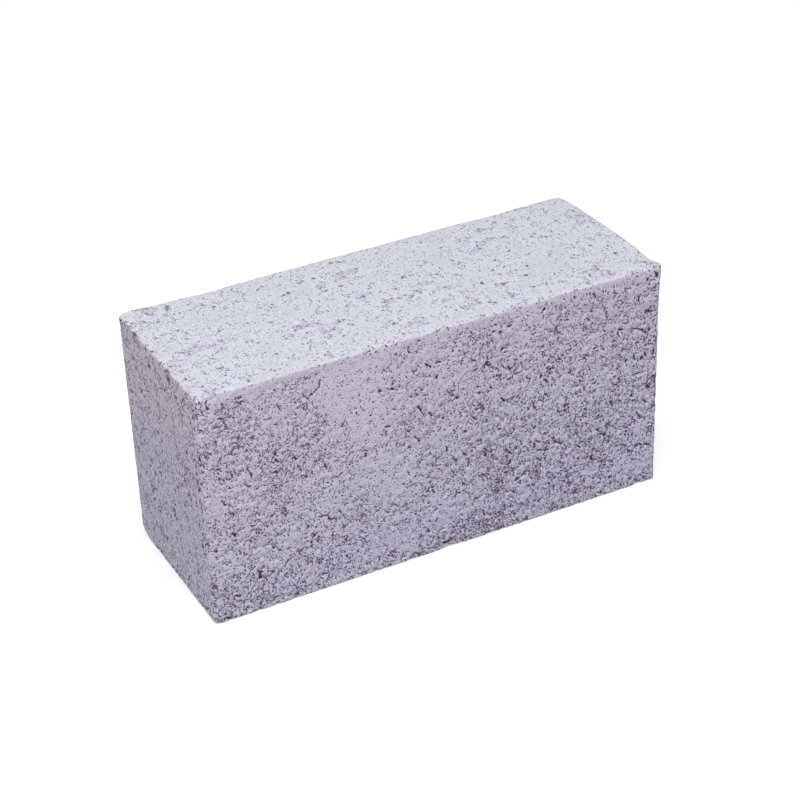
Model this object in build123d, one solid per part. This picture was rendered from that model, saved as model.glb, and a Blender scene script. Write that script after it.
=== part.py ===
"""Solid concrete building block of 400 x 150 x 200 mm, cast in one piece in a vibrated steel mould.

The origin is the middle of the lower bed face. +X runs along the block, +Y through the wall's thickness and +Z up,
so the block stands as it is laid, with its face towards -Y. Lengths are in millimetres.
"""

import os

from build123d import *

# The block as it is laid
block_length = 400.0
block_width = 150.0
block_height = 200.0

# Edges from the mould: its upright corners, and the arrises round the two bed faces
mould_corner_radius = 4.0
bed_arris_radius = 1.5

# Corners knocked off in handling: the side of the block that each is on, along X, Y and Z, and how far it is set
# back along its three edges, as shares of corner_break
corner_break = 10.0
knocked_corner_shares = {
    (-1, -1, +1): (0.6, 0.45, 0.4),
    (-1, +1, +1): (0.35, 0.4, 0.3),
    (+1, +1, +1): (0.3, 2.6, 0.25),
    (-1, +1, -1): (0.5, 1.5, 0.6),
}


def moulded_block():
    """The block as it leaves the mould: its plan with rounded corners, raised, with both bed arrises eased."""
    plan = RectangleRounded(block_length, block_width, mould_corner_radius)
    block = extrude(plan, amount=block_height)
    levels = block.edges().group_by(Axis.Z)
    return fillet(levels[0] + levels[-1], bed_arris_radius)


def knock_corner(block, side, shares):
    """Breaks one corner off along the plane through its set-back points on the three edges that meet there."""
    half_size = (block_length / 2, block_width / 2, block_height / 2)
    centre = Vector(0, 0, block_height / 2)
    corner = centre + Vector(*(way * half for way, half in zip(side, half_size)))
    set_back = [way * share * corner_break for way, share in zip(side, shares)]
    break_plane = Plane(
        origin=corner - Vector(set_back[0], 0, 0),
        z_dir=Vector(*(1 / along for along in set_back)),
    )
    return split(block, bisect_by=break_plane, keep=Keep.BOTTOM)


def concrete_block():
    """The moulded block with its knocked corners."""
    block = moulded_block()
    for side, shares in knocked_corner_shares.items():
        block = knock_corner(block, side, shares)
    return block


os.makedirs("parts", exist_ok=True)
export_step(concrete_block(), "parts/concrete_block.step")
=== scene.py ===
"""A solid concrete building block, standing on its bed on a pale studio floor."""

import bpy
import numpy as np
from mathutils import Matrix, Vector


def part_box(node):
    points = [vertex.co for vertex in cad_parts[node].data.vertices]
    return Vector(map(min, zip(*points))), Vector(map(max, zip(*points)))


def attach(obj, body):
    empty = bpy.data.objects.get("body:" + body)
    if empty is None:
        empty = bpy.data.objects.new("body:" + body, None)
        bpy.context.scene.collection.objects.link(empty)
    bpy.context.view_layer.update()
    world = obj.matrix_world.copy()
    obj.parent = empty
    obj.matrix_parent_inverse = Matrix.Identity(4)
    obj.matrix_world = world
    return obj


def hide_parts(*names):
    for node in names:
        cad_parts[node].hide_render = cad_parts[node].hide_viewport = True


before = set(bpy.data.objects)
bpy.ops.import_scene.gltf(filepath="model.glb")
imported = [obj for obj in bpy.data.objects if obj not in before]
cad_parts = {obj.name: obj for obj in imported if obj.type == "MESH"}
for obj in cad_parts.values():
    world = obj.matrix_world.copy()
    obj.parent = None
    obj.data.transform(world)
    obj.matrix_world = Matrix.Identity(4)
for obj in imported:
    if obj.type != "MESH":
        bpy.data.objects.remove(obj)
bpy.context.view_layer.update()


# The block is one casting of semi-dry concrete, pressed and shaken in a steel mould and pushed out at once.
# The mould leaves rounded upright corners. Rubbing and knocks have eased the bed arrises and broken corners.
# Its surface is a closed lattice on the six sides, cast out from an inner box to the eased, broken form.

block_low, block_high = (np.array(corner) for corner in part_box("concrete_block"))
half_size = (block_high - block_low) / 2
middle = (block_high + block_low) / 2

mould_corner_radius = 0.004
bed_arris_radius = 0.0015
corner_break = 0.010
break_easing = 0.0015
knocked_corner_shares = {
    (-1, -1, +1): (0.6, 0.45, 0.4),
    (-1, +1, +1): (0.35, 0.4, 0.3),
    (+1, +1, +1): (0.3, 2.6, 0.25),
    (-1, +1, -1): (0.5, 1.5, 0.6),
}

cast_depth = 0.005
inner_half = half_size - cast_depth
lattice_step = 0.001
arris_step = 0.0006
march_steps = 12


def lattice_lines(half):
    """Grid lines from -half to half: evenly spaced, and closer over the last cast_depth at both ends."""
    inner = half - cast_depth
    fine = np.linspace(inner, half, round(cast_depth / arris_step) + 1)
    coarse = np.linspace(-inner, inner, round(2 * inner / lattice_step) + 1)
    return np.concatenate([-fine[:0:-1], coarse, fine[1:]])


def box_lattice():
    """Points and quads of a closed lattice on the six sides of the block's box.

    Each side is a grid of two of the three axes' lines, with the third held at one end. A point's number is
    its place in the whole block of line crossings, so points shared by neighbouring sides become one."""
    lines = [lattice_lines(half) for half in half_size]
    counts = [len(line) for line in lines]
    keys = []
    for axis in range(3):
        across, up = (axis + 1) % 3, (axis + 2) % 3
        for end in (0, counts[axis] - 1):
            crossing = [None, None, None]
            crossing[axis] = np.full((counts[across], counts[up]), end)
            crossing[across], crossing[up] = np.indices((counts[across], counts[up]))
            grid = np.ravel_multi_index(crossing, counts)
            corners = (grid[:-1, :-1], grid[1:, :-1], grid[1:, 1:], grid[:-1, 1:])
            quads = np.stack(corners, axis=-1).reshape(-1, 4)
            keys.append(quads if end else quads[:, ::-1])
    used, numbers = np.unique(np.concatenate(keys), return_inverse=True)
    places = np.unravel_index(used, counts)
    points = np.stack([line[place] for line, place in zip(lines, places)], axis=1)
    return points, numbers.reshape(-1, 4)


def form_distance(points):
    """How far each point lies outside the eased block.

    It is the distance to the plan with rounded corners, joined to the distance to the beds by the arris
    radius, and then the larger of that and the distance in front of each corner's break plane, eased where
    the two are alike."""
    beyond_plan = np.maximum(np.abs(points[:, :2]) - (half_size[:2] - mould_corner_radius), 0)
    beside = np.hypot(*beyond_plan.T) - mould_corner_radius
    above = np.abs(points[:, 2]) - half_size[2]
    over = np.maximum(np.stack([beside, above]) + bed_arris_radius, 0)
    distance = np.hypot(*over) - bed_arris_radius
    for side, shares in knocked_corner_shares.items():
        facing = np.array(side) / (np.array(shares) * corner_break)
        in_front = ((points - half_size * side) @ facing + 1) / np.linalg.norm(facing)
        alike = np.maximum(break_easing - np.abs(distance - in_front), 0)
        distance = np.maximum(distance, in_front) + alike ** 2 / (4 * break_easing)
    return distance


def cast_ways(points):
    """Each point's root on the inner box, and the unit way out to the point from there."""
    roots = np.clip(points, -inner_half, inner_half)
    ways = points - roots
    return roots, ways / np.linalg.norm(ways, axis=1, keepdims=True)


def cast_out(roots, ways):
    """How far out from its root, along its way, each point of the eased block lies.

    It starts well outside, and steps in again and again by the distance that is left."""
    reach = np.full(len(roots), 2 * cast_depth)
    for _ in range(march_steps):
        reach -= form_distance(roots + reach[:, None] * ways)
    return reach


# Wear on the arrises that is too slight for the break planes: dents and spalls and, where the depth is below
# 0, lengths that the mould left a little proud. Each is a place on the block, its spread along X, Y and Z,
# and its depth.
worn_places = (
    ((0.200, -0.058, 0.200), (0.006, 0.008, 0.006), 0.0013),
    ((0.200, -0.004, 0.200), (0.006, 0.038, 0.006), -0.0008),
    ((0.200, -0.075, 0.200), (0.010, 0.010, 0.020), -0.0012),
    ((0.004, -0.075, 0.000), (0.007, 0.004, 0.004), 0.0017),
    ((0.200, 0.075, 0.200), (0.006, 0.006, 0.006), 0.0006),
    ((0.183, -0.075, 0.000), (0.004, 0.005, 0.004), 0.0014),
    ((-0.186, 0.075, 0.200), (0.010, 0.006, 0.006), -0.0013),
    ((-0.123, 0.075, 0.200), (0.018, 0.005, 0.005), 0.0009),
    ((0.130, 0.075, 0.200), (0.016, 0.005, 0.005), 0.0008),
)


def worn_depths(points):
    """How deep wear has gone at each point: each place's depth, falling off as a bell curve of its spread."""
    depths = np.zeros(len(points))
    for place, spread, depth in worn_places:
        offset = (points + middle - place) / spread
        depths += depth * np.exp(-np.sum(offset ** 2, axis=1))
    return depths


# Crevices and holes that air and missing paste have left, larger and darker than the open texture; their dark
# colour is partly their own and partly painted shade in them. Each is its width and the points that its line
# runs through, in millimetres: X and Z on the face seen, X and Y on the upper bed, and Y and Z on the end
# seen.
mm = 0.001
face_crevices = (
    (2.2, (-111, 174), (-107.5, 176.5), (-103, 179), (-101, 181.5), (-100, 186)),
    (2.2, (-114, 176.5), (-110.5, 173.5)), (2, (-112.5, 190.5), (-110, 191.5)),
    (2, (-103, 192), (-100.5, 192.5)), (2.4, (-167.5, 191), (-163.5, 191.5)),
    (2.4, (-168, 188), (-160, 186.5)), (2.4, (-136, 175.5), (-134, 173)),
    (2.2, (-107.5, 139), (-105.5, 142), (-103, 143)), (2.6, (-142, 132), (-140, 134.5), (-139.5, 137.5)),
    (2.2, (-140, 130), (-137.5, 127)), (2.2, (-125, 128), (-123, 124)), (2, (-122.5, 119), (-119, 112.5)),
    (3.2, (-143, 119.5), (-140, 119)), (2, (-176.5, 130.5), (-175.5, 125)), (2.4, (-185, 108), (-183, 104)),
    (3, (-116.5, 108.5), (-116, 106.5)), (3.2, (-100, 111), (-99, 109)), (2.2, (-65, 115), (-66, 108)),
    (2, (-183, 146.5), (-184, 143), (-186.5, 140)), (2, (-163, 130), (-160, 122.5)),
    (2, (-166.5, 117.5), (-162.5, 112.5)), (2.6, (-185.5, 136), (-184, 134)), (3.4, (-184.5, 122.5)),
    (3.4, (-52, 163), (-50.5, 161)), (2.2, (-191, 195), (-190, 188)), (2, (-195, 193), (-194.5, 188)),
    (2.2, (-181, 178.5), (-179, 176)), (2.2, (-188, 173), (-185.5, 171.5)),
    (2.2, (-194, 160), (-192, 155.5)), (2, (-163, 145.5), (-162, 144)), (2, (-69, 164), (-68.5, 162)),
    (2, (-76.5, 153), (-76, 150.5)), (2.6, (-179.5, 77.5), (-177, 75)), (2.4, (-135.5, 84.5), (-135, 83.5)),
    (3.2, (-136, 79.5), (-135, 78)), (2.2, (-152, 75), (-150, 72.5)),
    (2, (-108, 68), (-101, 67), (-99, 63), (-93, 60)), (2.6, (-94.5, 58.5), (-93.5, 56.5)),
    (2, (-90.5, 67), (-87, 61.5), (-84.5, 56.5)), (2, (-115.5, 53.5), (-111.5, 52.5)),
    (2.6, (-120.5, 53), (-118.5, 52)), (3, (-161.5, 38), (-159.5, 34), (-159.5, 29.5)),
    (2.2, (-147, 52.5), (-145, 53)), (2, (-120.5, 31.5), (-119.5, 27.5)), (2, (-112, 31.5), (-110.5, 27)),
    (2.4, (-188, 21.5), (-187, 19)), (2.2, (-179.5, 20.5), (-177, 19.5)), (2.6, (-87, 24.5), (-86.5, 22.5)),
    (2.2, (-77, 25.5), (-76.5, 24)), (2, (-110, 49), (-109.5, 45)), (2, (-115, 48), (-114.5, 44)),
    (2.6, (-130, 4.5), (-129, 2)), (3.6, (-191.5, 3), (-187, 1.5)), (2.2, (-84.5, 3.5), (-82.5, 1.5)),
    (2.4, (-75, 3), (-73.5, 1.5)), (2.4, (-194, 67), (-192.5, 65.5)), (2.2, (-158.5, 88), (-157, 87)),
    (2.2, (-175, 12.5), (-174, 11)), (2, (-166, 66), (-165, 63.5)), (3.6, (28, 189.5)), (3.8, (12, 177.5)),
    (2.6, (-12, 174), (-9.5, 171), (-7.5, 170)), (2.2, (-2.5, 172.5), (1, 171)),
    (2.6, (-4, 159), (-2, 160.5)), (2.2, (-42, 160.5), (-39.5, 160)),
    (2, (-20.5, 139.5), (-16.5, 132.5), (-14.5, 129)), (2.2, (-10.5, 130), (-7, 126)),
    (2.4, (-24, 112.5), (-20, 109.5), (-20, 105.5)), (2, (-29.5, 104.5), (-27.5, 105)),
    (2.6, (30, 155), (32.5, 156)), (2, (39, 155.5), (41.5, 158), (42, 164.5)),
    (2, (42.5, 157.5), (46.5, 152.5)), (2.6, (44, 136), (45.5, 134.5)), (2.6, (14, 136.5), (15, 135)),
    (2, (32, 139.5), (33, 141)), (2.6, (32.5, 124), (35, 123.5)), (2, (31.5, 120), (35.5, 119.5)),
    (3.4, (54, 122.5), (57, 120)), (2.4, (55, 167.5), (54, 165.5)), (2, (56.5, 163), (60, 163)),
    (3.2, (47, 184.5), (49, 183.5)), (2.8, (52.5, 182.5), (54, 181.5)), (2, (47.5, 189), (52, 189.5)),
    (3.4, (54.5, 187)), (2.6, (60.5, 185), (62, 184)), (3.6, (44, 181.5)),
    (2.2, (60.5, 149.5), (62, 146.5)), (2.8, (90, 132), (89, 130)), (3.2, (92.5, 128), (95.5, 125)),
    (2.4, (93, 114), (97, 112)), (2.2, (92, 112), (92, 109.5)), (2.4, (75.5, 118), (74.5, 116)),
    (2.2, (70.5, 113), (73, 115)), (4, (92.5, 190.5)), (2.2, (70.5, 133.5), (71.5, 131.5)),
    (2, (76.5, 135), (80.5, 132)), (2, (89, 159), (92.5, 157.5)), (2.4, (20.5, 104), (22, 102)),
    (2, (31.5, 110), (28, 114)), (2.2, (82.5, 107.5), (86.5, 101)), (2.2, (-26.5, 189.5), (-25, 187)),
    (2.2, (-18, 196), (-16, 195)), (2.6, (-41, 142.5), (-39, 142)), (3.2, (-45.5, 139)),
    (2.2, (-48, 129.5), (-45, 128.5)), (2, (-48, 126), (-47.5, 121)), (2.2, (-22, 151.5), (-20, 149)),
    (2.4, (12.5, 185.5), (14, 184)), (2.6, (4.5, 94.5), (4, 89.5)), (2.6, (11, 80.5), (13.5, 79.5)),
    (2.2, (19, 84), (22, 80.5)), (3.2, (26, 88)), (2.2, (-30.5, 84), (-29, 80.5)),
    (2, (-12.5, 92), (-10, 92.5)), (2.6, (37.5, 76.5), (39.5, 75)), (3.4, (9, 70)), (2, (22, 70), (25, 73)),
    (1.8, (-11.5, 67.5), (-9, 57.5)), (3, (17.5, 56.5), (19.5, 54.5)), (3.4, (35.5, 57.5)),
    (2.2, (49.5, 58), (51.5, 55.5)), (2.2, (60, 71.5), (61.5, 69.5)), (2.6, (64.5, 72), (67.5, 72)),
    (2, (59, 60), (62, 62)), (2.4, (64, 55.5), (64.5, 53)), (3.8, (83.5, 87)),
    (2.6, (88.5, 89.5), (90, 87.5)), (2, (60.5, 88.5), (60.5, 85.5)), (2, (86, 64.5), (91, 62.5), (99, 62)),
    (2.8, (89.5, 50.5), (89.5, 48)), (3, (87, 37), (87.5, 35)), (3.8, (70, 40)),
    (2.2, (66.5, 43), (73, 45.5), (75.5, 49)), (2.2, (60.5, 35), (64, 32.5)),
    (2.6, (48.5, 39.5), (50, 38.5)), (2, (20, 47), (23, 44.5), (24, 40.5)), (1.8, (9.5, 47), (17.5, 49)),
    (3.6, (-13, 48)), (2.2, (-6.5, 40.5), (-5.5, 39.5)), (2.4, (35.5, 24.5), (36.5, 19)), (3.2, (43, 29.5)),
    (3.4, (50, 17.5)), (2.6, (64, 12), (65, 10.5)), (3.6, (87.5, 15.5)), (2.2, (-15, 21), (-12.5, 20.5)),
    (3.2, (21.5, 20)), (6.5, (0, 4.5), (4, 5)), (3.2, (-26, 5), (-24, 2.5)), (2, (-9, 2), (-2, 4)),
    (2.4, (74, 2), (77, 2.5)), (3.2, (-27.5, 53)), (2, (-43.5, 37.5), (-40, 35.5)),
    (3.6, (194.5, 195), (196.5, 190.5)), (4, (187.5, 191)), (2.4, (158, 186.5), (159.5, 186)),
    (2.4, (110, 195), (111, 194)), (2.2, (119.5, 194.5), (120.5, 192.5)),
    (2.4, (148, 175), (149.5, 171.5), (150, 167)), (3.2, (163, 175.5)), (2.4, (174, 190), (175, 188.5)),
    (2, (179, 178), (179.5, 172.5)), (2.6, (186.5, 163), (193, 160.5)), (2.6, (162.5, 153), (164, 152)),
    (3.6, (161, 149)), (2.4, (174, 150), (180, 148.5), (184, 145.5), (187.5, 143)),
    (3.2, (190, 146.5), (191, 144)), (3.2, (195, 153)), (2.6, (146.5, 140), (148, 139)),
    (3.8, (122.5, 150.5)), (3, (136.5, 146.5)), (3, (169, 122.5), (170.5, 121.5)),
    (2.4, (187, 125), (187.5, 121.5), (183, 120)), (2.6, (195.5, 126), (196.5, 122.5)),
    (2.8, (194, 117.5), (195, 116)), (2, (176.5, 127.5), (177.5, 120)), (2, (162, 130), (165, 125)),
    (3.2, (134.5, 125.5)), (3.2, (126, 124.5)), (3.4, (137.5, 110.5)), (2.4, (180.5, 108), (182, 107)),
    (2.2, (159, 103.5), (161.5, 102.5)), (3.2, (119.5, 105)), (2.2, (147, 156), (148.5, 155)),
    (3, (157, 120.5)), (3.2, (191, 92.5), (191.5, 91)), (3.2, (190, 97.5)), (4, (175.5, 87.5)),
    (3.4, (126.5, 87.5)), (2, (105, 96.5), (105.5, 94)), (2.2, (154.5, 89.5), (157, 84)),
    (2.4, (185.5, 82.5), (189.5, 77)), (2.6, (131.5, 75.5), (133.5, 74.5)), (2.2, (143.5, 79.5), (145, 78)),
    (2.4, (102.5, 68), (109.5, 62.5)), (2, (142.5, 66.5), (147, 60), (151.5, 58)), (3, (154, 67)),
    (2, (157, 64.5), (160.5, 61.5)), (2, (180.5, 70.5), (184, 64.5), (189.5, 62.5)),
    (2.8, (124.5, 56), (126, 54)), (2, (124.5, 45), (125.5, 42.5)),
    (2.2, (139.5, 49), (138, 44), (138, 39.5)), (2.8, (134, 34.5), (135, 33)), (2, (154, 52.5), (154, 50)),
    (2.4, (179.5, 38.5), (185.5, 39), (186.5, 35.5)), (2.4, (189.5, 37.5), (195, 34.5)),
    (3.2, (101.5, 25.5), (102.5, 22)), (2.2, (130.5, 22.5), (131.5, 19.5)), (2.4, (145, 19), (147, 17.5)),
    (2.2, (154, 22.5), (155, 20.5)), (2, (155, 17.5), (155.5, 14)), (4, (189, 4)),
    (2.4, (144, 4.5), (148, 2)), (3.4, (166.5, 4.5)), (2.8, (101, 3.5), (104, 2)), (3.2, (194.5, 21)),
    (3.2, (193, 52)), (3.2, (192, 56)),
)
bed_holes = (
    (4.0, (-177, 49)), (3.8, (-131, 49)), (4.8, (-72, 39)), (4.0, (-76, 38)), (4.0, (-57, 49.5)),
    (4.5, (-44, 51)), (4.0, (-24, 48.5)), (4.0, (-108, 68)), (3.8, (-119.5, 12)), (3.6, (-135, -1)),
    (3.8, (-88, -11.5)), (3.6, (-87, -26)), (4.2, (-120, -43)), (4.2, (-25, -47.5)), (3.6, (-64, -44)),
    (3.6, (-58, -3)), (4.2, (43.5, 5)), (5.0, (65, -26)), (5.0, (101, -32)), (4.2, (109.5, -19)),
    (5.0, (181, -37)), (4.5, (195.5, 18.5)), (4.2, (143.5, -58)), (3.8, (188, -56.5)),
    (4.2, (193.5, -67.5)), (4.2, (134, 54.5)), (4.2, (113, 57)), (3.6, (110.5, 11)), (3.6, (173, -32)),
    (4.0, (97, -52)), (4.0, (-169, 28.5)), (3.6, (136, -47)),
)
end_holes = (
    (5.0, (-3, 64.5)), (4.8, (-10, 73)), (4.8, (38.5, 150)), (4.2, (38, 181)), (4.5, (14, 184)),
    (4.5, (-13, 178)), (4.0, (-36, 188)), (4.5, (-62, 175)), (4.0, (15, 171)), (4.2, (37, 59)),
    (3.6, (67, 196)), (4.0, (20, 196)), (4.2, (-46, 99)), (4.2, (-62, 80)), (4.0, (7, 77.5)),
    (4.0, (-67, 119)), (4.8, (-72, 148)), (4.0, (-27, 135)), (5.0, (-50, 1.5)), (4.0, (-44, 1.5)),
    (4.5, (-16, 1.5)), (4.0, (-10, 1.5)), (5.0, (2, 1.5)), (4.5, (9, 1.5)), (4.0, (17, 1.5)),
    (4.0, (34, 2)), (4.0, (38.5, 2)), (4.0, (-66, 3)),
)

# A few stones lie bare in the face, smooth and a little bluer than the paste, and two grains of ironstone
# have stained the paste at the upper bed's arrises
bare_stones = (
    (11.5, (-106.5, 184.5)), (12, (-188, 145)), (15, (-190.5, 105)), (7, (-89.5, 133.5)),
    (7, (-183, 134.5)), (7, (-53, 116)),
)
rust_stains = ((5, (-200, 42)), (4, (-37, 75)))

hole_depth = 0.0018
ragged_shift = 0.0004
ragged_length = 0.0045


def on_side(places, axis, level):
    """Places on the side at that level of an axis, from millimetres on the side to metres on the block."""
    return [
        (mm * width, *(np.insert(mm * np.array(bend, dtype=float), axis, level) for bend in bends))
        for width, *bends in places
    ]


holes = on_side(face_crevices, 1, block_low[1])
holes += on_side(bed_holes, 2, block_high[2])
holes += on_side(end_holes, 0, block_low[0])
stones = on_side(bare_stones, 1, block_low[1])
stains = on_side(rust_stains, 2, block_high[2])


def nearness(points, places):
    """1 on the line of the nearest place, falling evenly to 0 at half its width to either side.

    The points asked about are first shifted along each axis by a sine of the next axis, so that the rims come
    out ragged. A point's gap to a stretch is taken from its foot on it, held between the stretch's ends."""
    ragged = points + ragged_shift * np.sin(points[:, (1, 2, 0)] * (2 * np.pi / ragged_length))
    share = np.zeros(len(points))
    for width, *line in places:
        bends = np.array(line) - middle
        for start, stop in zip(bends, bends[1:] if len(bends) > 1 else bends):
            run = stop - start
            inside = np.abs(ragged - (start + stop) / 2) < np.abs(run) / 2 + width / 2
            near = np.flatnonzero(inside.all(axis=1))
            offset = ragged[near] - start
            along = np.clip(offset @ run / (run @ run or 1.0), 0, 1)
            gap = np.linalg.norm(offset - along[:, None] * run, axis=1)
            share[near] = np.maximum(share[near], 1 - gap / (width / 2))
    return share


# The casting's open texture: stones coated with paste, with crevices and pits between them, closed over by a
# skin of paste in places, dragged upright on the ends and trowelled nearly shut on the beds. It is one recipe
# of texture nodes, used on the lattice's points for the shape and in the material for the colour.
stone_size = 0.0065
lump_size = 0.0050
grain_size = 0.0050
seam_width = 0.22
pore_size = 0.0030
bed_pore_size = 0.0040
speck_size = 0.0017
drag_size = 0.0015
drag_stretch = (1.0, 1.0, 0.55)
patch_size = 0.045
cluster_size = 0.010
fine_roughness = 0.7
swirl_size = 0.0040
swirl_reach = (0.004, 0.004, 0.004)

# Where a side's texture starts and is whole as the surface turns to it, and likewise where an arris ends
side_turn = (0.15, 0.6)
arris_turn = (0.55, 1.0)

# The skin gets thicker upwards and thinner to the right, and thicker again in a strip under the upper bed
skin_patch_share = 0.5
skin_rise = 0.085
skin_fall = 0.045
top_strip = (0.012, 0.004)
top_strip_skin = 0.18
skin_range = (-0.15, 0.35)

# Places on the face where the skin is thicker or thinner: how far it spreads, from full to none, and how much
skin_areas = (
    ((-0.075, -0.075, 0.170), (0.014, 0.032), 0.40),
    ((-0.045, -0.075, 0.070), (0.020, 0.090), 0.14),
    ((-0.190, -0.075, 0.155), (0.015, 0.045), -0.14),
    ((0.185, -0.075, 0.015), (0.010, 0.035), 0.15),
)

# The paste's tint changes upwards and to the right, and the ends are rougher in a strip beside the face
tint_rise = 0.40
tint_fall = 0.10
middle_tint = 0.5
face_strip = (0.014, 0.004)

# Pores with rims and numbers that vary, which several kinds of pit follow: the shares of the fields in them
mixtures = {
    "rough": {"speck": 0.6, "cluster": 0.5, "patch": 0.25, "pores": -1.0},
    "bed_rough": {"speck": 0.7, "cluster": 1.0, "patch": 0.4, "bed_pores": -1.0},
}

# Each kind of pit follows a sum of the fields, by these shares, and gets darker in steps of that sum: where a
# step starts, where it ends, and how much darkness it adds. The darkness is partly the pits' own colour and
# partly painted shade in them.
pit_kinds = {
    "worm": (
        {"speck": 0.85, "seams": 0.085, "lumps": 0.12, "cluster": 0.16, "skin": -0.10},
        ((0.045, 0.115, 0.32), (0.115, 0.165, 0.58)),
    ),
    "face_dot": ({"rough": 1.0, "skin": -0.13}, ((-0.32, -0.25, 0.47), (-0.25, -0.15, 0.50))),
    "drag_line": ({"drag": 1.0, "cluster": 0.25, "patch": 0.1}, ((0.05, 0.11, 0.24), (0.11, 0.19, 0.60))),
    "end_dot": ({"rough": 1.0, "near_face": 0.06}, ((-0.28, -0.21, 0.40), (-0.21, -0.12, 0.52))),
    "end_spot": ({"bed_rough": 1.0, "near_face": 0.06}, ((-0.17, 0.0, 0.9),)),
    "bed_dot": ({"bed_rough": 1.0}, ((-0.21, -0.14, 0.30), (-0.14, -0.04, 0.45))),
    "bed_speck": ({"rough": 1.0}, ((-0.24, -0.16, 0.46),)),
    "bed_grain": ({"speck": 1.0, "cluster": 0.4, "patch": 0.2}, ((0.04, 0.15, 0.15),)),
    "bed_smudge": ({"speck": 0.4, "cluster": 0.8, "patch": 1.2}, ((0.06, 0.30, 0.22),)),
}

# The shape: hollows between lumps and stones, shallower under the skin, on the ends and beds and at the
# arrises, which have nicks instead
mean_stone = 0.53
stone_share = 0.35
hollow_range = (-0.12, 0.30)
lump_depth = 0.0011
skinned_lumps = 0.3
least_lumps = 0.22
arris_lumps_lost = 0.6
nick_cluster_share = 0.7
nick_range = (0.05, 0.25)
nick_depth = 0.0005


def add_node(tree, kind, *values, **settings):
    """Adds a node to a tree, with its settings, and sets or links its inputs in order."""
    node = tree.nodes.new(kind)
    for name, setting in settings.items():
        setattr(node, name, setting)
    for socket, value in zip(node.inputs, values):
        if isinstance(value, (Field, bpy.types.NodeSocket)):
            tree.links.new(getattr(value, "socket", value), socket)
        elif value is not None:
            socket.default_value = value
    return node


class Field:
    """A number that varies over the casting: a node's output, which sums and products carry on from."""

    def __init__(self, tree, socket):
        self.tree = tree
        self.socket = socket

    def math(self, operation, *others):
        """One operation on this number and others."""
        node = add_node(self.tree, "ShaderNodeMath", self, *others, operation=operation)
        return Field(self.tree, node.outputs[0])

    def __add__(self, other):
        return self.math("ADD", other)

    def __sub__(self, other):
        return self.math("SUBTRACT", other)

    def __mul__(self, other):
        return self.math("MULTIPLY", other)

    def complement(self):
        """1 less the number."""
        return self.math("MULTIPLY_ADD", -1.0, 1.0)

    def largest(self, other):
        """The larger of the two numbers."""
        return self.math("MAXIMUM", other)

    def ramp(self, low, high, to_low=0.0, to_high=1.0):
        """A smooth step from to_low where the number is low to to_high where it is high."""
        values = (self, low, high, to_low, to_high)
        ramp = add_node(self.tree, "ShaderNodeMapRange", *values, interpolation_type="SMOOTHSTEP")
        return Field(self.tree, ramp.outputs[0])

    def steps(self, steps):
        """The sum of smooth steps up from 0, each given by where it starts and ends and what it adds."""
        first, *others = (self.ramp(low, high, 0.0, gain) for low, high, gain in steps)
        return sum(others, first)


def vector_math(tree, operation, *values):
    """One operation on vectors."""
    return add_node(tree, "ShaderNodeVectorMath", *values, operation=operation).outputs[0]


def parts_of(tree, vector):
    """A vector's parts along X, Y and Z."""
    return [Field(tree, socket) for socket in add_node(tree, "ShaderNodeSeparateXYZ", vector).outputs]


def away_from(tree, place, point):
    """The distance of a place from a point."""
    node = add_node(tree, "ShaderNodeVectorMath", place, tuple(point), operation="DISTANCE")
    return Field(tree, node.outputs["Value"])


def noise(tree, place, size, detail=0.0, roughness=0.5):
    """Soft noise about 0, from -0.5 to 0.5, whose cells are that size."""
    node = add_node(tree, "ShaderNodeTexNoise", place, None, 1 / size, detail, roughness)
    return Field(tree, node.outputs[0]) - 0.5


def cells(tree, place, size, feature="F1"):
    """The distance to the nearest middle, or edge, of scattered cells of that size, as a share of it."""
    node = add_node(tree, "ShaderNodeTexVoronoi", place, None, 1 / size, feature=feature)
    return Field(tree, node.outputs["Distance"])


def mixed(fields, shares):
    """The sum of the named fields, each times its share."""
    first, *others = (fields[name] * share for name, share in shares.items())
    return sum(others, first)


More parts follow.
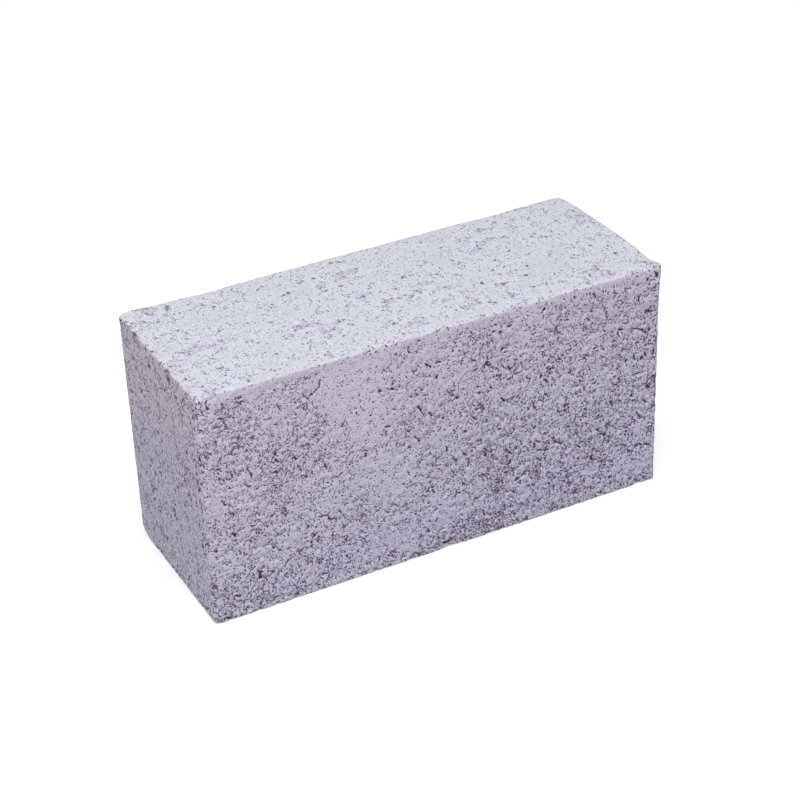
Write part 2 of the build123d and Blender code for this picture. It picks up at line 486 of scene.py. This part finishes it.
def relief(tree, place):
    """The casting's fields at a place, by name.

    The place is cast onto a box with evenly rounded arrises, and noises and cells are read there. They add
    up to the skin, to the pits, from 0 to 1, and to the depth of hollows and nicks below the eased form. The
    rest is how far the surface faces the ends, the face and the beds, the paste's tint and the cast place."""
    centred = vector_math(tree, "SUBTRACT", place, tuple(middle))
    root = vector_math(tree, "MINIMUM", centred, tuple(inner_half))
    root = vector_math(tree, "MAXIMUM", root, tuple(-inner_half))
    way = vector_math(tree, "NORMALIZE", vector_math(tree, "SUBTRACT", centred, root))
    reach = vector_math(tree, "MULTIPLY", way, (cast_depth, cast_depth, cast_depth))
    cast = vector_math(tree, "ADD", root, reach)
    endward, faceward, bedward = parts_of(tree, vector_math(tree, "MULTIPLY", way, way))
    end, face, bed = (ward.ramp(*side_turn) for ward in (endward, faceward, bedward))
    arris = endward.largest(faceward).largest(bedward).ramp(*arris_turn, 1.0, 0.0)
    along, across, height = parts_of(tree, cast)

    swirl = add_node(tree, "ShaderNodeTexNoise", cast, None, 1 / swirl_size, 1.0).outputs["Color"]
    swirl = vector_math(tree, "SUBTRACT", swirl, (0.5, 0.5, 0.5))
    swirled = vector_math(tree, "ADD", cast, vector_math(tree, "MULTIPLY", swirl, swirl_reach))
    dragged = vector_math(tree, "MULTIPLY", cast, drag_stretch)
    rims = cells(tree, swirled, grain_size, "DISTANCE_TO_EDGE")
    fields = {
        "patch": noise(tree, cast, patch_size, 2.0),
        "cluster": noise(tree, cast, cluster_size, 1.0),
        "lumps": noise(tree, cast, lump_size, 1.0),
        "speck": noise(tree, cast, speck_size, 2.0, fine_roughness),
        "drag": noise(tree, dragged, drag_size, 2.0, fine_roughness),
        "stones": cells(tree, swirled, stone_size),
        "pores": cells(tree, swirled, pore_size),
        "bed_pores": cells(tree, swirled, bed_pore_size),
        "seams": rims.ramp(0.0, seam_width, 1.0, 0.0),
        "near_face": across.ramp(*(depth - half_size[1] for depth in face_strip)),
        "end": end,
        "face": face,
        "bed": bed,
        "cast": cast,
    }

    upward = height * (1 / half_size[2])
    rightward = along * (1 / half_size[0])
    skin = fields["patch"] * skin_patch_share + upward * skin_rise - rightward * skin_fall
    skin = skin + height.ramp(*(half_size[2] - depth for depth in top_strip), 0.0, top_strip_skin)
    for point, spread, gain in skin_areas:
        skin = skin + away_from(tree, cast, np.array(point) - middle).ramp(*spread, gain, 0.0)
    fields["skin"] = skin.ramp(*skin_range)
    fields["tint"] = upward * tint_rise - rightward * tint_fall + middle_tint

    fields |= {name: mixed(fields, shares) for name, shares in mixtures.items()}
    pits = {kind: mixed(fields, shares).steps(steps) for kind, (shares, steps) in pit_kinds.items()}
    face_pits = pits["worm"].largest(pits["face_dot"])
    end_pits = pits["drag_line"].largest(pits["end_dot"]).largest(pits["end_spot"])
    bed_pits = (pits["bed_grain"] + pits["bed_smudge"]).largest(pits["bed_speck"]).largest(pits["bed_dot"])
    fields["pits"] = (face_pits * face).largest(end_pits * end).largest(bed_pits * bed)

    hollows = fields["lumps"] + (fields["stones"] - mean_stone) * stone_share
    open_share = (face * fields["skin"].ramp(0.0, 1.0, 1.0, skinned_lumps)).largest(least_lumps)
    lumpy_share = open_share * (arris * arris_lumps_lost).complement()
    nicks = (fields["lumps"] + fields["cluster"] * nick_cluster_share).ramp(*nick_range) * arris
    fields["depth"] = hollows.ramp(*hollow_range) * lumpy_share * lump_depth + nicks * nick_depth
    return fields


def relief_depths(points):
    """The recipe's depth at each point, read back from a point cloud that carries it as an attribute."""
    tree = bpy.data.node_groups.new("relief_on_points", "GeometryNodeTree")
    tree.interface.new_socket("Points", in_out="INPUT", socket_type="NodeSocketGeometry")
    tree.interface.new_socket("Points", in_out="OUTPUT", socket_type="NodeSocketGeometry")
    place = add_node(tree, "GeometryNodeInputPosition").outputs[0]
    given = add_node(tree, "NodeGroupInput").outputs[0]
    depth = relief(tree, place)["depth"]
    stored = add_node(tree, "GeometryNodeStoreNamedAttribute", given, True, "depth", depth)
    add_node(tree, "NodeGroupOutput", stored.outputs[0])

    mesh = bpy.data.meshes.new("lattice_points")
    mesh.vertices.add(len(points))
    mesh.vertices.foreach_set("co", points.astype(np.float32).ravel())
    cloud = bpy.data.objects.new("lattice_points", mesh)
    bpy.context.scene.collection.objects.link(cloud)
    cloud.modifiers.new("relief", "NODES").node_group = tree
    evaluated = cloud.evaluated_get(bpy.context.evaluated_depsgraph_get())
    depths = np.empty(len(points), dtype=np.float32)
    evaluated.data.attributes["depth"].data.foreach_get("value", depths)
    bpy.data.objects.remove(cloud)
    bpy.data.meshes.remove(mesh)
    bpy.data.node_groups.remove(tree)
    return depths


# The casting's mesh: the lattice cast out to the eased form, pulled back by the wear, the relief and the
# holes, and then thinned. It carries its nearness to the holes, the bare stones and the rust for the
# material, and a map of its six sides.
most_triangles = 196000
chart_gap = 0.010


def cast_block():
    """The casting as one closed mesh of at most most_triangles triangles."""
    points, quads = box_lattice()
    roots, ways = cast_ways(points)
    eased = roots + cast_out(roots, ways)[:, None] * ways
    depths = relief_depths(eased + middle) + worn_depths(eased) + hole_depth * nearness(eased, holes)
    mesh = bpy.data.meshes.new("casting")
    mesh.from_pydata(eased - depths[:, None] * ways + middle, [], quads)
    mesh.polygons.foreach_set("use_smooth", np.ones(len(quads), dtype=bool))

    casting = bpy.data.objects.new("concrete_casting", mesh)
    bpy.context.scene.collection.objects.link(casting)
    thinning = casting.modifiers.new("thinning", "DECIMATE")
    thinning.use_collapse_triangulate = True
    thinning.ratio = most_triangles / (2 * len(quads))
    evaluated = casting.evaluated_get(bpy.context.evaluated_depsgraph_get())
    casting.modifiers.clear()
    casting.data = bpy.data.meshes.new_from_object(evaluated)
    bpy.data.meshes.remove(mesh)
    return casting


def mesh_array(elements, name, width, kind=np.float32):
    """One property of all of a mesh's elements, as an array with that many columns."""
    values = np.empty(len(elements) * width, dtype=kind)
    elements.foreach_get(name, values)
    return values.reshape(-1, width)


def mark_places(mesh, name, places):
    """Stores each vertex's nearness to the places, measured on the surface before it was pulled back."""
    roots, ways = cast_ways(mesh_array(mesh.vertices, "co", 3) - middle)
    eased = roots + cast_out(roots, ways)[:, None] * ways
    mark = mesh.attributes.new(name, "FLOAT", "POINT")
    mark.data.foreach_set("value", nearness(eased, places).astype(np.float32))


def map_sides(mesh):
    """Lays the six sides out flat on a square sheet, each triangle on the side that it faces most.

    The two faces stand side by side with the two beds above them, and the ends stand to their right."""
    length, width, height = 2 * half_size
    right = 2 * height + 3 * chart_gap
    chart_corners = np.array([
        [(right, chart_gap), (right, height + 2 * chart_gap)],
        [(chart_gap, chart_gap), (height + 2 * chart_gap, chart_gap)],
        [(chart_gap, length + 2 * chart_gap), (chart_gap, length + width + 3 * chart_gap)],
    ])
    sheet = length + 2 * width + 4 * chart_gap
    points = mesh_array(mesh.vertices, "co", 3) - middle
    triangles = mesh_array(mesh.loops, "vertex_index", 1, np.int32).reshape(-1, 3)
    corners = points[triangles]
    _, ways = cast_ways(corners.mean(axis=1))
    axis = np.abs(ways).argmax(axis=1)
    side = (np.take_along_axis(ways, axis[:, None], axis=1)[:, 0] > 0).astype(int)
    flat_axes = np.stack([(axis + 1) % 3, (axis + 2) % 3], axis=1)
    places = np.take_along_axis(corners + half_size, flat_axes[:, None, :].repeat(3, axis=1), axis=2)
    spots = (places + chart_corners[axis, side][:, None, :]) / sheet
    mesh.uv_layers.new(name="OFBake").data.foreach_set("uv", spots.astype(np.float32).ravel())


block = cast_block()
mark_places(block.data, "hole", holes)
mark_places(block.data, "rust", stains)
mark_places(block.data, "bare_stone", stones)
map_sides(block.data)


# The concrete's paste is a pale grey with a violet cast, bluer low down on the sides, mottled and sandy. The
# beds have a bluer, slightly brighter copy of the paste, which is painted light: the tint and brightness of
# the light on the upper bed. Crevices, pits and holes are dark, partly in their own colour and partly by
# painted shade in the hollows, and their rims and the grains between them show as bump.
face_colour = (0.602, 0.555, 0.672, 1.0)
low_colour = (0.595, 0.560, 0.722, 1.0)
bare_stone_colour = (0.540, 0.530, 0.660, 1.0)
# The beds' colour is the paste with painted light: the bluer, brighter cast of the light on the upper bed
bed_colour_with_painted_light = (0.579, 0.592, 0.665, 1.0)
# The dark colours of crevices and holes are partly their own and partly painted shade in the hollows
crevice_colour_with_painted_shade = (0.088, 0.035, 0.128, 1.0)
bed_crevice_colour_with_painted_shade = (0.086, 0.048, 0.156, 1.0)
hole_colour_with_painted_shade = (0.050, 0.022, 0.062, 1.0)
bed_hole_colour_with_painted_shade = (0.055, 0.032, 0.105, 1.0)
rust_colour = (0.17, 0.065, 0.035, 1.0)
matt_roughness = 0.92
dull_specular = 0.25

sand_size = 0.0008
sand_shade = 0.5
side_mottle = 0.16
bed_mottle = 0.32
rust_range = (0.0, 0.5)

# Bare stones and holes have rims made ragged by the specks and lumps, and holes are wider off the face
bare_speck_share = 0.6
bare_range = (0.02, 0.30)
bare_colour_share = 0.6
bare_pits_lost = 0.85
hole_speck_share = 1.9
hole_lump_share = 0.6
wider_hole = 0.07
hole_range = (0.17, 0.58)
side_hole_share = 0.95
bed_hole_share = 0.85

# Heights for the bump, in metres, at its full strength
bump_strength = 1.0
bump_scale = 1.0
sand_height = 0.0003
pit_depth = 0.0011
bed_pit_depth = 0.0007
grain_heights = {"speck": 0.0007, "lumps": 0.0006}
dragged_grain_heights = {"drag": 0.0007, "lumps": 0.0006}


def blend_colours(tree, share, colour, other):
    """A colour that goes over to the other by a share from 0 to 1, by the colour sockets of a Mix node."""
    node = add_node(tree, "ShaderNodeMix", share, data_type="RGBA")
    for socket, value in ((node.inputs[6], colour), (node.inputs[7], other)):
        if isinstance(value, bpy.types.NodeSocket):
            tree.links.new(value, socket)
        else:
            socket.default_value = value
    return node.outputs[2]


def concrete_material():
    """Matt concrete: paste in its side's colour, with painted light on the beds, mottled and sandy, dark in
    pits and holes partly by painted shade, and bumpy.
    """
    material = bpy.data.materials.new("open_textured_concrete")
    material.use_nodes = True
    tree = material.node_tree
    shader = tree.nodes["Principled BSDF"]
    shader.inputs["Roughness"].default_value = matt_roughness
    shader.inputs["Specular IOR Level"].default_value = dull_specular
    fields = relief(tree, add_node(tree, "ShaderNodeTexCoord").outputs["Object"])
    face, bed, speck, lumps = (fields[name] for name in ("face", "bed", "speck", "lumps"))
    sand = noise(tree, fields["cast"], sand_size, 2.0)
    hole, rust, bare_stone = (
        Field(tree, add_node(tree, "ShaderNodeAttribute", attribute_name=name).outputs["Fac"])
        for name in ("hole", "rust", "bare_stone")
    )

    paste = blend_colours(tree, fields["tint"], low_colour, face_colour)
    # The beds go over to their own colour, which paints in the tint and brightness of the light on the upper
    # bed
    paste = blend_colours(tree, bed, paste, bed_colour_with_painted_light)
    mottle = (fields["patch"] + fields["cluster"]) * bed.ramp(0.0, 1.0, side_mottle, bed_mottle)
    shade = sand * sand_shade + mottle + 1.0
    paste = add_node(tree, "ShaderNodeVectorMath", paste, None, None, shade, operation="SCALE").outputs[0]
    paste = blend_colours(tree, rust.ramp(*rust_range), paste, rust_colour)
    bare = (bare_stone + speck * bare_speck_share).ramp(*bare_range)
    paste = blend_colours(tree, bare * bare_colour_share, paste, bare_stone_colour)

    pits = fields["pits"] * (bare * bare_pits_lost).complement()
    # Pits go over to a dark colour that is partly their own and partly painted shade in them
    crevice_colour_and_shade = blend_colours(tree, bed, crevice_colour_with_painted_shade, bed_crevice_colour_with_painted_shade)
    colour = blend_colours(tree, pits, paste, crevice_colour_and_shade)
    ragged_hole = hole + speck * hole_speck_share + lumps * hole_lump_share
    ragged_hole = (ragged_hole + face.ramp(0.0, 1.0, wider_hole, 0.0)).ramp(*hole_range)
    ragged_hole = ragged_hole * bed.ramp(0.0, 1.0, side_hole_share, bed_hole_share)
    # Holes go over to a dark colour that is partly their own and partly painted shade in them
    hole_colour_and_shade = blend_colours(tree, bed, hole_colour_with_painted_shade, bed_hole_colour_with_painted_shade)
    colour = blend_colours(tree, ragged_hole, colour, hole_colour_and_shade)
    tree.links.new(colour, shader.inputs["Base Color"])

    grains = mixed(fields, grain_heights) * face + mixed(fields, dragged_grain_heights) * fields["end"]
    height = pits * bed.ramp(0.0, 1.0, -pit_depth, -bed_pit_depth) + sand * sand_height - grains
    bump = add_node(tree, "ShaderNodeBump", bump_strength, bump_scale)
    tree.links.new(height.socket, bump.inputs["Height"])
    tree.links.new(bump.outputs[0], shader.inputs["Normal"])
    return material


block.data.materials.clear()
block.data.materials.append(concrete_material())
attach(block, "root")
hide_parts("concrete_block")


# The studio floor is a wide sheet of white paper. The camera sees it as white, with the block's soft shadow
# on it, and it throws less light back on the block than it seems to.
floor_reach = 6.0
shadow_reach = (0.35, 0.60)
white = (1.0, 1.0, 1.0, 1.0)
paper_colour = (0.9, 0.9, 0.9, 1.0)
dull_paper_colour = (0.25, 0.25, 0.25, 1.0)
paper_glow = 0.2

floor_mesh = bpy.data.meshes.new("studio_floor")
floor_corners = floor_reach * np.array([(-1, -1, 0), (1, -1, 0), (1, 1, 0), (-1, 1, 0)])
floor_mesh.from_pydata(floor_corners, [], [(0, 1, 2, 3)])
floor = bpy.data.objects.new("studio_floor", floor_mesh)
bpy.context.scene.collection.objects.link(floor)


def floor_material():
    """White paper, duller as a reflector than to the camera, and plain white beyond the block's shadow."""
    material = bpy.data.materials.new("white_paper")
    material.use_nodes = True
    tree = material.node_tree
    tree.nodes.clear()
    rays = add_node(tree, "ShaderNodeLightPath").outputs
    seen = Field(tree, rays["Is Camera Ray"]).largest(Field(tree, rays["Is Glossy Ray"]))
    seen = seen.largest(Field(tree, rays["Is Transmission Ray"]))
    place = add_node(tree, "ShaderNodeTexCoord").outputs["Object"]
    from_block = add_node(tree, "ShaderNodeVectorMath", place, operation="LENGTH").outputs["Value"]
    beyond = Field(tree, from_block).ramp(*shadow_reach)
    dull = add_node(tree, "ShaderNodeBsdfDiffuse", dull_paper_colour).outputs[0]
    paper = add_node(tree, "ShaderNodeBsdfDiffuse", paper_colour).outputs[0]
    glow = add_node(tree, "ShaderNodeEmission", white, paper_glow).outputs[0]
    lit = add_node(tree, "ShaderNodeAddShader", paper, glow).outputs[0]
    plain = add_node(tree, "ShaderNodeEmission", white, 1.0).outputs[0]
    shown = add_node(tree, "ShaderNodeMixShader", beyond, lit, plain).outputs[0]
    surface = add_node(tree, "ShaderNodeMixShader", seen, dull, shown).outputs[0]
    add_node(tree, "ShaderNodeOutputMaterial", surface)
    return material


floor_mesh.materials.append(floor_material())


# The light is a large soft box overhead and two weaker ones at the left and the front, in an even white
# surround that fills the shadows. Each box is where it stands, how wide it is and its power.
soft_boxes = {
    "overhead_box": ((-0.10, -0.80, 1.9), 1.8, 19.5),
    "left_box": ((-1.25, -0.10, 0.9), 0.9, 2.8),
    "front_box": ((-0.75, -1.15, 0.7), 0.9, 4.6),
}
fill_strength = 0.72

for name, (place, size, power) in soft_boxes.items():
    lamp = bpy.data.lights.new(name, "AREA")
    lamp.size = size
    lamp.energy = power
    box = bpy.data.objects.new(name, lamp)
    box.location = place
    box.rotation_euler = (Vector(middle) - Vector(place)).to_track_quat("-Z", "Y").to_euler()
    bpy.context.scene.collection.objects.link(box)

surround = bpy.data.worlds.new("white_surround")
surround.use_nodes = True
surround_tree = surround.node_tree
surround_tree.nodes.clear()
rays = add_node(surround_tree, "ShaderNodeLightPath").outputs
fill = add_node(surround_tree, "ShaderNodeBackground", white, fill_strength).outputs[0]
plain = add_node(surround_tree, "ShaderNodeBackground", white, 1.0).outputs[0]
shown = add_node(surround_tree, "ShaderNodeMixShader", rays["Is Camera Ray"], fill, plain).outputs[0]
add_node(surround_tree, "ShaderNodeOutputWorld", shown)
bpy.context.scene.world = surround


# The camera looks down on the block's left end and long face from a little above, with a long lens.
camera_aim = middle + np.array([0.0019, -0.0010, -0.0001])
camera_distance = 1.702
camera_azimuth = np.radians(26.77)
camera_elevation = np.radians(30.84)
camera_roll = np.radians(-2.28)
camera_lens = 95.5

forward = np.array([
    np.cos(camera_elevation) * np.sin(camera_azimuth),
    np.cos(camera_elevation) * np.cos(camera_azimuth),
    -np.sin(camera_elevation),
])
level_right = np.array([np.cos(camera_azimuth), -np.sin(camera_azimuth), 0.0])
level_up = np.cross(level_right, forward)
right = np.cos(camera_roll) * level_right + np.sin(camera_roll) * level_up
up = np.cross(right, forward)
camera_data = bpy.data.cameras.new("photo_camera")
camera_data.lens = camera_lens
camera = bpy.data.objects.new("photo_camera", camera_data)
turn = Matrix(np.stack([right, up, -forward], axis=1).tolist()).to_4x4()
camera.matrix_world = Matrix.Translation(camera_aim - camera_distance * forward) @ turn
bpy.context.scene.collection.objects.link(camera)
bpy.context.scene.camera = camera

bpy.context.scene.view_settings.view_transform = "Standard"
